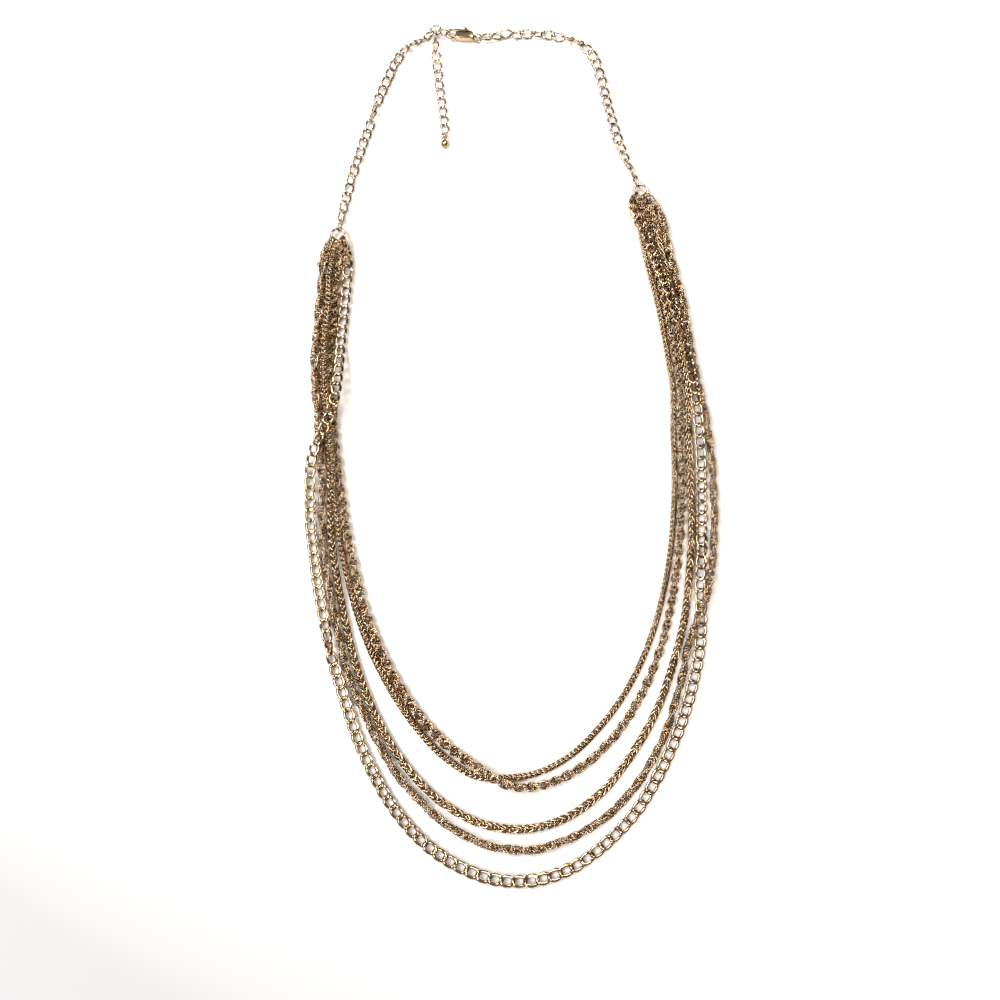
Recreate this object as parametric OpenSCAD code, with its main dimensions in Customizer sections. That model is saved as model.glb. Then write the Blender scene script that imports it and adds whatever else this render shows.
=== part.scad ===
/* [Strands] */
// Diameter of the inner wheat strand
inner_wheat_d = 2.5; // [2:0.1:2.6]
// Diameter of the inner twisted strand
inner_twist_d = 3.2; // [2.4:0.1:3.2]
// Diameter of the middle wheat strand
middle_wheat_d = 3; // [2.2:0.1:3]
// Diameter of the outer twisted strand
outer_twist_d = 3.2; // [2.4:0.1:3.2]
// Wire of the small end loop of each strand
end_loop_wire = 0.6; // [0.5:0.05:0.65]

/* [Curb links] */
// Length of one open curb link
curb_l = 6; // [5.9:0.05:6.1]
// Width of one open curb link
curb_b = 4.3; // [4.1:0.05:4.4]
// Wire width of the curb links
curb_w = 0.7; // [0.65:0.01:0.74]
// Wire height of the curb links
curb_h = 0.7; // [0.65:0.01:0.75]
// Side tilt of the curb links, left and right in turn
curb_tilt = 10; // [8:1:12]

/* [Rings] */
// Outer diameter of the two gathering rings
gather_d = 6.8; // [6.6:0.1:7]
// Wire of the gathering rings
gather_w = 1; // [0.8:0.05:1]
// Outer diameter of the ring that carries the extender
extender_ring_d = 5.2; // [5.1:0.1:5.3]
// Wire of the ring that carries the extender
extender_ring_w = 0.7; // [0.6:0.05:0.75]

/* [Clasp] */
// Thickness of the claw
jaw_t = 1.4; // [1.3:0.1:1.6]
// Thickness of the body at the lever
cheek_t = 2.8; // [2.4:0.1:3]
// Thickness of the tail
tail_t = 1; // [0.9:0.05:1.1]
// Thickness of the lever
lever_t = 0.9; // [0.8:0.05:0.95]
// Diameter of the lever's pivot pin
pin_d = 0.8; // [0.7:0.05:0.85]

/* [Extender] */
// Length of one extender link
ext_l = 5.6; // [5.5:0.05:5.65]
// Width of one extender link
ext_b = 4.1; // [4:0.05:4.2]
// Wire of the extender links
ext_w = 0.65; // [0.61:0.01:0.7]
// Diameter of the end ball
ball_d = 3.2; // [2.8:0.1:3.2]

/* [Hidden] */

// Routes: columns are x, y and lift, in mm. Lift is the height of the thread above its own
// resting height on the table. Each route runs from the left gathering ring to the right one.
INNER_WHEAT = [
  [-71.55, 72.1, 1.05], [-71.8, 69.5, 1.9], [-72.1, 66, 2.8], [-73.2, 60, 3], [-73.5, 45, 3],
  [-74.4, 28, 3], [-73.9, 12, 3], [-72.1, 0, 3], [-71.2, -10, 3], [-69.8, -20, 3],
  [-68.9, -30, 2.8], [-68, -37, 2.2], [-67.1, -43, 1.2], [-66.4, -49, 0], [-64, -60, 0], [-60, -75, 0],
  [-54.5, -90, 0], [-47, -104.5, 0], [-36.5, -120, 0], [-25, -132, 0], [-12, -139.2, 0], [-2, -139.5, 0],
  [8, -138.2, 0], [20, -132.7, 0], [33, -121, 0], [45, -104.5, 0], [53.5, -86, 0], [59, -67, 0],
  [62, -50, 0], [63.4, -36, 0], [64.1, -22, 0], [64.1, -8, 0], [64.6, 10, 0], [62.7, 28, 0],
  [59.8, 48, 0], [57.4, 60, 0], [55.4, 70, 0], [53.7, 82, 0], [52.9, 89, 0.5], [52.86, 92.2, 1.05]];
INNER_TWIST = [
  [-69.6, 72.3, 0.7], [-69.5, 69, 0.4], [-70, 65, 0], [-70.9, 59, 0], [-71.4, 45, 0], [-72.4, 28, 0],
  [-72, 12, 0], [-70.3, 0, 0], [-69.4, -10, 0], [-68, -20, 0], [-66.6, -30, 0], [-65.1, -38, 0],
  [-63.9, -46, 0], [-61.2, -58, 0], [-57, -74, 0], [-51, -90, 0], [-43, -105, 0], [-32, -120, 0],
  [-22, -129.4, 0], [-16, -133.6, 0.4], [-10.5, -137, 2.2], [-6, -140, 2.9], [-1.5, -142, 2],
  [4, -142.9, 0.2], [12, -141.8, 0], [23, -137.2, 0], [36, -126.7, 0], [48, -110, 0], [56.5, -91, 0],
  [61.5, -72, 0], [64.8, -52, 0], [66.3, -36, 0], [67, -22, 0], [67, -8, 0], [67.5, 10, 0],
  [65.6, 28, 0], [62.8, 48, 0], [60.4, 60, 0], [58.4, 70, 0], [56.6, 82, 0], [55.2, 89, 0.3],
  [54.8, 92, 0.7]];
MIDDLE_WHEAT = [
  [-73.4, 72.7, 0.8], [-73.5, 69.5, 0.4], [-73.4, 65, 0], [-74, 59, 0], [-74.5, 45, 0], [-75.5, 28, 0],
  [-75.1, 12, 0], [-73.5, 0, 0], [-72.5, -10, 0], [-71.2, -20, 0], [-70.5, -30, 0], [-70.1, -40, 0],
  [-69.3, -50, 0], [-67.4, -62, 0], [-64.6, -75, 0], [-61, -90, 0], [-56, -105, 0], [-49, -120, 0],
  [-40, -134, 0], [-27, -147, 0], [-12, -155.2, 0], [2, -157.5, 0], [16, -155, 0], [30, -147, 0],
  [43, -132.7, 0], [54, -115, 0], [61, -97, 0], [65.6, -81, 0], [68, -65, 0], [69.6, -50, 0],
  [70, -36, 0], [70.2, -22, 0], [70.1, -8, 0], [70.6, 10, 0], [68.7, 28, 0], [66, 48, 0], [63.6, 60, 0],
  [61.6, 70, 0], [59.9, 82, 0], [57.9, 89, 0.3], [56.6, 92.7, 0.8]];
OUTER_TWIST = [
  [-74.9, 74.2, 0.7], [-76, 71, 0.4], [-76.6, 66, 0], [-77.1, 59, 0], [-77.6, 45, 0], [-78.6, 28, 0],
  [-78.2, 12, 0], [-76.6, 0, 0], [-75.7, -10, 0], [-74.4, -20, 0], [-73.7, -30, 0], [-73.3, -40, 0],
  [-72.5, -50, 0], [-70.8, -62, 0], [-68.1, -75, 0], [-64.6, -90, 0], [-60, -105, 0], [-53.4, -119, 0],
  [-43, -137, 0], [-31, -150, 0], [-19, -158.7, 0], [-6, -163.6, 0], [7, -164.6, 0], [20, -161, 0],
  [33, -154, 0], [45, -142.5, 0], [54, -129, 0], [61, -112, 0], [65, -98, 0], [66.6, -91, 0.5],
  [68.6, -85, 1.7], [71, -79.5, 2.1], [73.3, -74.5, 2.1], [75.1, -69, 1.6], [76.6, -62, 0.3],
  [77.8, -54, 0], [78.5, -45, 0], [78.8, -34, 0], [78.8, -22, 0], [77.9, -8, 0], [76.3, 3, 0],
  [74.6, 12, 0], [72.2, 28, 0], [69.8, 48, 0], [67, 60, 0], [65, 70, 0], [63.2, 82, 0], [60.7, 89.5, 0.3],
  [58.05, 94.3, 0.7]];
OUTER_CURB = [
  [-69.05, 74.35, 1.4], [-67.6, 72.5, 1.4], [-66.8, 69, 1.4], [-66.5, 65, 1.2], [-66.6, 61, 0.9],
  [-66.9, 56, 0], [-67.3, 48, 0], [-68, 38, 0], [-68.6, 29, 0.2], [-68.6, 21, 1.8], [-68.7, 13, 3.8],
  [-69.3, 5, 5.2], [-70.8, -2, 5.6], [-73.2, -8, 5.5], [-76, -14, 4.3], [-78, -20.5, 2.2],
  [-78.5, -28, 0.3], [-78.1, -35, 0], [-77.4, -46, 0], [-75.3, -60, 0], [-72.5, -75, 0], [-71, -81.5, 0],
  [-69.4, -88.3, 1.2], [-68.5, -92.4, 1.2], [-66.2, -100, 0.1], [-63.4, -108, 0], [-58.2, -122.5, 0],
  [-51, -137.5, 0], [-42, -151.5, 0], [-31, -162.8, 0], [-18, -170.8, 0], [-5, -174.9, 0], [9, -174.8, 0],
  [22, -170.5, 0], [34, -162.3, 0], [45, -151.5, 0], [54, -138, 0], [61.5, -123, 0], [67, -108, 0],
  [70.7, -93, 0], [72, -82, 0], [72.1, -74, 0], [72.2, -66.5, 0], [72.7, -59.6, 1.2], [73, -55.4, 1.2],
  [73.5, -48, 0.1], [74.2, -32, 0], [74.5, -20, 0.2], [74.3, -13, 1], [73.9, -6, 2.2], [73.4, 1, 3],
  [72.8, 8, 3.4], [71.7, 16, 3.4], [70, 26, 3.4], [67.4, 38, 3.4], [64.8, 48, 3.4], [60.6, 60, 3.4],
  [57.2, 70, 3.4], [54.4, 78, 3.4], [52, 84.5, 3.3], [50.7, 89, 2.2], [50.85, 92.6, 1.5], [52.15, 94.25, 1.4]];
LEFT_NECK = [
  [-70.7, 79.3, 1.4], [-70, 84.5, 1.4], [-69.1, 89.5, 1.15], [-68.1, 95, 0.4], [-66.8, 101, 0],
  [-65, 109, 0], [-62.4, 118.5, 0], [-59.3, 128.5, 0], [-56.2, 140, 0], [-52, 150.5, 0], [-49, 158, 0],
  [-46.4, 163.2, 0.5], [-42.5, 166.2, 1.15], [-38, 168.2, 1.4], [-33.7, 171.4, 1.4]];
RIGHT_NECK = [
  [-12.35, 169.6, 1.1], [-8.5, 170.4, 0.6], [-4, 171, 0], [1, 171.5, 0], [8, 171.8, 0], [16, 171.5, 0],
  [23, 169.8, 0], [29, 167.8, 0], [33.1, 164.8, 0], [36.1, 159.9, 0], [38.4, 152.4, 0], [40.2, 144.4, 0],
  [41.8, 136.4, 0], [43.7, 128.4, 0], [45.8, 120.4, 0], [48, 112.9, 0.6], [50, 107.3, 1.3],
  [51.8, 102.8, 1.4], [53.26, 99.04, 1.4]];
EXTENDER = [
  [-32.1, 170.75, 1.35], [-32.2, 166, 1.35], [-31.9, 161, 1.15], [-31.2, 155, 0.4], [-30.2, 145, 0],
  [-28.9, 135, 0], [-28.1, 129, 0.3], [-27.7, 123.8, 0.7]];

// Ring places: centre x, centre y, height of the wire
LEFT_RING = [-71.1, 76.4, 2.2];
RIGHT_RING = [54.2, 96.3, 2.2];
EXT_RING = [-32.1, 173, 2.15];
// Clasp: place of the pivot, and the turn of the whole clasp on the table
PIVOT = [-17.1, 170.8, 1.9];
CLASP_TURN = -5;
// Numbers of links in the curb strand, its two cuts, the neck chains and the extender
CURB_N = 137;
CUT_1 = 39;
CUT_2 = 101;
LEFT_NECK_N = 24;
RIGHT_NECK_N = 26;
EXT_N = 11;
// Length of the link held in the claw
CAUGHT_L = 5.7;
// Shift that puts the origin under the middle of the whole necklace
SHIFT = [0.2, 1, 0];
GOLD = [0.80, 0.62, 0.40];
PALE = [0.86, 0.74, 0.56];

// A smooth curve through the rows of a route
function gap(P, i) = norm(P[i + 1] - P[i]);
function slope(P, i) = i == 0 ? (P[1] - P[0]) / gap(P, 0)
  : i == len(P) - 1 ? (P[i] - P[i - 1]) / gap(P, i - 1)
  : ((P[i] - P[i - 1]) / gap(P, i - 1) * gap(P, i) + (P[i + 1] - P[i]) / gap(P, i) * gap(P, i - 1))
    / (gap(P, i) + gap(P, i - 1));
function between(a, b, ta, tb, u) = (2 * u * u * u - 3 * u * u + 1) * a + (u * u * u - 2 * u * u + u) * ta
  + (3 * u * u - 2 * u * u * u) * b + (u * u * u - u * u) * tb;
function smooth(P, m) = concat([for (i = [0 : len(P) - 2]) for (j = [0 : m - 1])
  between(P[i], P[i + 1], slope(P, i) * gap(P, i), slope(P, i + 1) * gap(P, i), j / m)], [P[len(P) - 1]]);
function run(Q) = [for (i = 0, s = 0; i < len(Q); s = s + (i < len(Q) - 1 ? norm(Q[i + 1] - Q[i]) : 0), i = i + 1) s];
function column(Q, S, k) = [for (i = [0 : len(Q) - 1]) [S[i], Q[i][k]]];
// The route as three look-up tables over its length, and its whole length
function track(P, z0) = let (Q = [for (p = smooth(P, 8)) [p[0], p[1], max(p[2], 0) + z0]], S = run(Q))
  [column(Q, S, 0), column(Q, S, 1), column(Q, S, 2), S[len(S) - 1]];
function at(T, s) = [lookup(s, T[0]), lookup(s, T[1]), lookup(s, T[2])];
function unit(v) = v / norm(v);

// A strand's body: an eight-sided tube with narrowing ends and flats up, down and to the sides
module thread(P, d, n) {
  z0 = d / 2 * cos(22.5);
  T = track(P, z0);
  L = T[3];
  pts = [for (i = [0 : n - 1]) let (s = L * i / (n - 1), c = at(T, s),
      t = unit(at(T, min(s + 1, L)) - at(T, max(s - 1, 0))), side = unit(cross([0, 0, 1], t)), up = cross(t, side),
      e = min(s, L - s), r = d / 2 * min(1, 0.5 + e / 16))
    for (k = [0 : 7]) c + side * r * cos(22.5 + 45 * k) + up * r * sin(22.5 + 45 * k)];
  faces = concat([[for (k = [0 : 7]) k]],
    [for (i = [0 : n - 2]) for (k = [0 : 7]) let (a = i * 8 + k, b = i * 8 + (k + 1) % 8) each [[a, a + 8, b], [b, a + 8, b + 8]]],
    [[for (k = [7 : -1 : 0]) (n - 1) * 8 + k]]);
  polyhedron(points = pts, faces = faces, convexity = 10);
}

// A round wire ring that lies flat
module wire_ring(r, w) {
  rotate_extrude($fn = 48) translate([r, 0]) circle(d = w, $fn = 16);
}

// A strand's end loop, upright around the wire of a gathering ring at angle a
module end_loop(ring, a) {
  translate(ring) rotate([0, 0, a]) translate([gather_d / 2 - gather_w / 2 + 0.2, 0, 0])
    rotate([90, 0, 0]) wire_ring(1.4 - end_loop_wire / 2, end_loop_wire);
}

// One oval link of flattened wire along X
module link(l, b, w, h) {
  translate([0, 0, -h / 2]) linear_extrude(height = h) difference() {
    union() {
      for (q = [-1, 1]) translate([q * (l - b) / 2, 0]) circle(d = b, $fn = 32);
      square([l - b, b], center = true);
    }
    union() {
      for (q = [-1, 1]) translate([q * (l - b) / 2, 0]) circle(d = b - 2 * w, $fn = 32);
      square([l - b, b - 2 * w], center = true);
    }
  }
}

// Side tilt of link k counted from an upright end, and of link i in the run
function end_tilt(k) = k == 4 ? -3 : 90 - 23 * k;
function is_cut(i) = i == CUT_1 || i == CUT_2;
function run_tilt(i, cuts) = (i % 2 == 1 ? 1 : -1)
  * (!cuts ? curb_tilt : is_cut(i) || is_cut(i + 1) ? 41 : is_cut(i - 1) || is_cut(i + 2) ? 0 : curb_tilt);

// Links i0 to i1 of a chain of n: gaps g0 and g1 at the route's ends, upright at an end or not
module links(P, n, i0, i1, g0, g1, up0, up1, cuts, sg, l, b, w, h) {
  T = track(P, 0.8);
  L = T[3];
  // the two links at a cut stand a little closer
  near = cuts ? 0.15 : 0;
  step = (L - g0 - g1 + 2 * near) / (n - 1);
  for (i = [i0 : i1]) {
    s = g0 + i * step - (i >= CUT_1 ? near : 0) - (i >= CUT_2 ? near : 0);
    k = n - 1 - i;
    t = at(T, min(s + 1.5, L)) - at(T, max(s - 1.5, 0));
    tilt = sg * (up0 && i < 5 ? end_tilt(i) : up1 && k < 5 ? (n % 2 == 1 ? 1 : -1) * end_tilt(k) : run_tilt(i, cuts));
    translate(at(T, s)) rotate([0, 0, atan2(t[1], t[0])]) rotate([0, -atan2(t[2], norm([t[0], t[1]])), 0])
      rotate([tilt, 0, 0]) link(l, b, w, h);
  }
}

module inner_wheat_strand() {
  color(GOLD) translate(SHIFT) {
    thread(INNER_WHEAT, inner_wheat_d, 80);
    end_loop(LEFT_RING, -96);
    end_loop(RIGHT_RING, -108);
  }
}

module inner_twist_strand() {
  color(GOLD) translate(SHIFT) {
    thread(INNER_TWIST, inner_twist_d, 80);
    end_loop(LEFT_RING, -70);
    end_loop(RIGHT_RING, -82);
  }
}

module middle_wheat_strand() {
  color(GOLD) translate(SHIFT) {
    thread(MIDDLE_WHEAT, middle_wheat_d, 80);
    end_loop(LEFT_RING, -122);
    end_loop(RIGHT_RING, -56);
  }
}

module outer_twist_strand() {
  color(GOLD) translate(SHIFT) {
    thread(OUTER_TWIST, outer_twist_d, 80);
    end_loop(LEFT_RING, -150);
    end_loop(RIGHT_RING, -28);
  }
}

module curb_part(i0, i1) {
  color(GOLD) translate(SHIFT)
    links(OUTER_CURB, CURB_N, i0, i1, 1.55, 1.45, true, true, true, -1, curb_l, curb_b, curb_w, curb_h);
}

module outer_curb_left() { curb_part(0, CUT_1 - 1); }

module outer_curb_bottom() { curb_part(CUT_1, CUT_2 - 1); }

module outer_curb_right() { curb_part(CUT_2, CURB_N - 1); }

module left_gathering_ring() {
  color(PALE) translate(SHIFT) translate(LEFT_RING) wire_ring((gather_d - gather_w) / 2, gather_w);
}

module right_gathering_ring() {
  color(PALE) translate(SHIFT) translate(RIGHT_RING) wire_ring((gather_d - gather_w) / 2, gather_w);
}

module left_neck_chain() {
  color(PALE) translate(SHIFT)
    links(LEFT_NECK, LEFT_NECK_N, 0, LEFT_NECK_N - 1, 1.55, 1.65, true, true, false, 1, curb_l, curb_b, curb_w, curb_h);
}

module right_neck_chain() {
  color(PALE) translate(SHIFT)
    links(RIGHT_NECK, RIGHT_NECK_N, 0, RIGHT_NECK_N - 1, 1.7, 1.55, false, true, false, 1, curb_l, curb_b, curb_w, curb_h);
}

// Ring between the clasp's tail and the right neck chain, leaning over
module clasp_ring() {
  color(PALE) translate(SHIFT) translate([-14, 169.35, 1.9]) rotate([60, 0, 0]) wire_ring(1.65, 0.6);
}

// Puts its children into the clasp's own axes: pivot at the origin, mouth at -X, lever at +Y
module clasp_place() {
  translate(SHIFT) translate(PIVOT) rotate([0, 0, CLASP_TURN]) children();
}

module plate(t) { translate([0, 0, -t / 2]) linear_extrude(height = t) children(); }

module clasp_body() {
  color(GOLD) clasp_place() {
    difference() {
      union() {
        // claw
        plate(jaw_t) translate([-8.35, -0.25]) circle(r = 2.55, $fn = 48);
        // shank with two cheeks
        plate(cheek_t) polygon([[-6.4, -2.2], [-5.2, -2.6], [-2, -2.55], [0.6, -2.3], [1.3, -1.9], [1.4, -0.5], [1.1, 0.6],
          [0.3, 1.25], [-0.8, 1.3], [-2, 1], [-5.6, 0.75], [-6.4, 0.4]]);
        // tail
        plate(tail_t) translate([1.4, -1.35]) circle(r = 1.5, $fn = 32);
      }
      // eye of the claw
      plate(4) translate([-8.35, -0.25]) circle(r = 1.45, $fn = 48);
      // mouth, closed by the lever
      plate(4) difference() {
        polygon([[-8.4, 0.9], [-8.4, 4], [-3, 4], [-3, 0.75], [-6.4, 0.5]]);
        polygon([[-9, 4], [-7.6, 4], [-7.75, 2.5], [-7.92, 1.9], [-8.02, 1.4], [-8.1, 0.8], [-9, 0.8]]);
      }
      // slot for the lever
      plate(lever_t + 0.25) polygon([[-7.6, -1.2], [-6.6, -1.4], [-5.5, -1], [-3.8, -0.6], [-2, -1.1], [-1, -1.4], [1.1, -1.4], [1.45, 0],
        [1.3, 3], [-7.2, 3]]);
      // hole in the tail
      plate(4) translate([1.4, -1.35]) circle(r = 0.85, $fn = 32);
    }
    // pivot pin through both cheeks
    translate([0, 0, -cheek_t / 2]) cylinder(d = pin_d, h = cheek_t, $fn = 32);
  }
}

module clasp_lever() {
  color(GOLD) clasp_place() difference() {
    plate(lever_t) union() {
      circle(r = 1.05, $fn = 32);
      // gate that closes the mouth, and the arm up to the thumb nub
      polygon([[-7.8, 1.85], [-7.7, 1.4], [-5, 1.2], [-2.4, 0.95], [-0.9, -0.5], [0.9, 0.5], [-1.7, 2.9], [-2.4, 3.3],
        [-2.9, 3.1], [-2.6, 2.25], [-5, 2.35], [-7, 2.25], [-7.6, 2.1]]);
      translate([-2.6, 3.15]) circle(r = 0.45, $fn = 24);
    }
    plate(2) circle(d = pin_d + 0.1, $fn = 32);
  }
}

// The link held in the clasp's claw, upright, its far end on the extender ring
module caught_link() {
  color(PALE) translate(SHIFT) translate([-28.4, 171.95, 2.2]) rotate([0, 0, -15.5]) rotate([90, 0, 0]) link(CAUGHT_L, curb_b, 0.7, 0.7);
}

module extender_ring() {
  color(PALE) translate(SHIFT) translate(EXT_RING) wire_ring((extender_ring_d - extender_ring_w) / 2, extender_ring_w);
}

module extender_chain() {
  color(PALE) translate(SHIFT)
    links(EXTENDER, EXT_N, 0, EXT_N - 1, 1.6, 1.75, true, false, false, 1, ext_l, ext_b, ext_w, ext_w);
}

module drop_ring() {
  color(PALE) translate(SHIFT) translate([-27.7, 122.55, 1.6]) rotate([0, 90, 0]) wire_ring(1.3, 0.55);
}

module extender_drop() {
  color(GOLD) translate(SHIFT) translate([-27.7, 121.2, 1.6]) {
    wire_ring(0.8, 0.5);
    translate([0, -2.55, 0]) sphere(d = ball_d, $fn = 48);
    translate([0, -0.75, 0]) rotate([90, 0, 0]) cylinder(d = 0.8, h = 1.2, $fn = 24);
  }
}

inner_wheat_strand();
inner_twist_strand();
middle_wheat_strand();
outer_twist_strand();
outer_curb_left();
outer_curb_bottom();
outer_curb_right();
left_gathering_ring();
right_gathering_ring();
left_neck_chain();
right_neck_chain();
clasp_ring();
clasp_body();
clasp_lever();
caught_link();
extender_ring();
extender_chain();
drop_ring();
extender_drop();
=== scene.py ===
import math

import bpy
import numpy as np
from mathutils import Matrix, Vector


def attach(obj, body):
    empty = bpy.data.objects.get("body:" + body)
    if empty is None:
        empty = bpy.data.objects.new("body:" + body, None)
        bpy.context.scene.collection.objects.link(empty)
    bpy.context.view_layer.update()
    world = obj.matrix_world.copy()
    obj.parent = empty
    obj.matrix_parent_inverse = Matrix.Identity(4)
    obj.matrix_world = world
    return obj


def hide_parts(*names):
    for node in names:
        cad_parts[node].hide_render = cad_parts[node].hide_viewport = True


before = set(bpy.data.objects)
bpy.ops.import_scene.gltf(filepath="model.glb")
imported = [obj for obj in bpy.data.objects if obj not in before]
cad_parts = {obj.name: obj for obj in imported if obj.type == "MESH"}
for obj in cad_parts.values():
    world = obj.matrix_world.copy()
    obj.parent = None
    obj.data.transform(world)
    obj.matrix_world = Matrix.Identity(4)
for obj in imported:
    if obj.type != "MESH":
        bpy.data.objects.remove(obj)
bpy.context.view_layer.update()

MM = 0.001
SHIFT = np.array([0.2, 1.0, 0.0])
UP = np.array([0.0, 0.0, 1.0])

# ---------------------------------------------------------------- camera and light
scene = bpy.context.scene
cam_data = bpy.data.cameras.new("camera")
cam_data.lens = 36.0
cam_data.sensor_width = 36.0
cam_data.clip_start = 0.01
cam_data.clip_end = 20.0
cam = bpy.data.objects.new("camera", cam_data)
cam.location = (-0.00415, -0.11842, 0.381)
cam.rotation_euler = (math.radians(12.5), 0.0, 0.0)
scene.collection.objects.link(cam)
scene.camera = cam


def area_light(name, place, aim, size, watts, colour):
    data = bpy.data.lights.new(name, "AREA")
    data.shape = "RECTANGLE"
    data.size, data.size_y = size
    data.energy = watts
    data.color = colour
    lamp = bpy.data.objects.new(name, data)
    lamp.location = place
    # the lamp's own -Z points at the aim
    lamp.rotation_euler = (Vector(aim) - Vector(place)).to_track_quat("-Z", "Y").to_euler()
    scene.collection.objects.link(lamp)
    return lamp


area_light("key", (-0.48, -0.52, 1.02), (0.0, 0.0, 0.0), (0.50, 0.50), 10.0, (1.0, 1.0, 1.0))
area_light("fill", (0.35, 0.52, 1.05), (0.0, 0.0, 0.0), (0.42, 0.42), 7.8, (1.0, 0.94, 0.87))
area_light("side", (-0.72, 0.25, 0.90), (0.0, 0.08, 0.0), (0.38, 0.38), 9.0, (1.0, 0.98, 0.96))

world = bpy.data.worlds.new("studio")
scene.world = world
world.use_nodes = True
wt = world.node_tree
wt.nodes.clear()
w_out = wt.nodes.new("ShaderNodeOutputWorld")
w_bg = wt.nodes.new("ShaderNodeBackground")
w_co = wt.nodes.new("ShaderNodeTexCoord")
w_sep = wt.nodes.new("ShaderNodeSeparateXYZ")
w_ramp = wt.nodes.new("ShaderNodeValToRGB")
w_bg.inputs["Strength"].default_value = 1.0
w_ramp.color_ramp.elements[0].position = 0.0
w_ramp.color_ramp.elements[0].color = (0.03, 0.0265, 0.023, 1)
w_ramp.color_ramp.elements[1].position = 1.0
w_ramp.color_ramp.elements[1].color = (0.36, 0.32, 0.28, 1)
for place, value in ((0.45, 0.06), (0.75, 0.27)):
    e = w_ramp.color_ramp.elements.new(place)
    e.color = (value, value * 0.88, value * 0.77, 1)
wt.links.new(w_co.outputs["Generated"], w_sep.inputs[0])
wt.links.new(w_sep.outputs["Z"], w_ramp.inputs[0])
wt.links.new(w_ramp.outputs[0], w_bg.inputs["Color"])
wt.links.new(w_bg.outputs[0], w_out.inputs["Surface"])
scene.view_settings.view_transform = "Standard"
scene.view_settings.exposure = 0.0


# ---------------------------------------------------------------- materials
def metal(name, dark, mid, light, grain, rough, bump):
    m = bpy.data.materials.new(name)
    m.use_nodes = True
    nt = m.node_tree
    nt.nodes.clear()
    out = nt.nodes.new("ShaderNodeOutputMaterial")
    bsdf = nt.nodes.new("ShaderNodeBsdfPrincipled")
    bsdf.inputs["Metallic"].default_value = 1.0
    co = nt.nodes.new("ShaderNodeTexCoord")
    n1 = nt.nodes.new("ShaderNodeTexNoise")
    n1.inputs["Scale"].default_value = grain
    n1.inputs["Detail"].default_value = 4.0
    n2 = nt.nodes.new("ShaderNodeTexNoise")
    n2.inputs["Scale"].default_value = grain * 7.0
    n2.inputs["Detail"].default_value = 3.0
    ramp = nt.nodes.new("ShaderNodeValToRGB")
    ramp.color_ramp.elements[0].position = 0.28
    ramp.color_ramp.elements[0].color = (*dark, 1)
    ramp.color_ramp.elements[1].position = 0.74
    ramp.color_ramp.elements[1].color = (*light, 1)
    k = ramp.color_ramp.elements.new(0.5)
    k.color = (*mid, 1)
    rr = nt.nodes.new("ShaderNodeMapRange")
    rr.inputs["From Min"].default_value = 0.3
    rr.inputs["From Max"].default_value = 0.7
    rr.inputs["To Min"].default_value = rough[0]
    rr.inputs["To Max"].default_value = rough[1]
    bp = nt.nodes.new("ShaderNodeBump")
    bp.inputs["Strength"].default_value = bump
    bp.inputs["Distance"].default_value = 0.00005
    nt.links.new(co.outputs["Object"], n1.inputs["Vector"])
    nt.links.new(co.outputs["Object"], n2.inputs["Vector"])
    nt.links.new(n1.outputs["Fac"], ramp.inputs[0])
    nt.links.new(ramp.outputs[0], bsdf.inputs["Base Color"])
    nt.links.new(n2.outputs["Fac"], rr.inputs["Value"])
    nt.links.new(rr.outputs[0], bsdf.inputs["Roughness"])
    nt.links.new(n2.outputs["Fac"], bp.inputs["Height"])
    nt.links.new(bp.outputs[0], bsdf.inputs["Normal"])
    nt.links.new(bsdf.outputs[0], out.inputs["Surface"])
    return m


GOLD = metal("champagne_gold_metal", (0.378, 0.234, 0.110), (0.502, 0.374, 0.238), (0.604, 0.492, 0.352), 420.0, (0.08, 0.18), 0.2)
TWIST = metal("twisted_gold_metal", (0.368, 0.226, 0.106), (0.488, 0.354, 0.226), (0.594, 0.476, 0.338), 520.0, (0.08, 0.18), 0.2)
CURB = metal("curb_gold_metal", (0.385, 0.252, 0.140), (0.500, 0.362, 0.228), (0.600, 0.470, 0.322), 300.0, (0.06, 0.15), 0.15)
PALE = metal("pale_gold_metal", (0.470, 0.360, 0.255), (0.570, 0.458, 0.338), (0.650, 0.548, 0.430), 300.0, (0.07, 0.17), 0.15)
CLASP = metal("clasp_gold_metal", (0.490, 0.360, 0.232), (0.605, 0.468, 0.322), (0.690, 0.556, 0.408), 90.0, (0.09, 0.18), 0.05)
# painted shade: dark gold laid on the inner and outer sides of the link wires, standing in for contact shade and dark
# reflection there
GOLD_SIDE_SHADE = metal("gold_wire_painted_shade", (0.160, 0.095, 0.050), (0.240, 0.150, 0.085), (0.330, 0.220, 0.130), 420.0, (0.15, 0.30), 0.2)
PALE_SIDE_SHADE = metal("pale_wire_painted_shade", (0.260, 0.190, 0.130), (0.350, 0.270, 0.190), (0.440, 0.350, 0.260), 420.0, (0.15, 0.30), 0.2)
# painted shade: near-black gold for a tube inside each wheat strand, standing in for the shade deep in the strand
SHADED_CORE = metal("painted_shade_core", (0.07, 0.045, 0.025), (0.12, 0.075, 0.045), (0.18, 0.12, 0.07), 900.0, (0.35, 0.55), 0.4)


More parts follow.
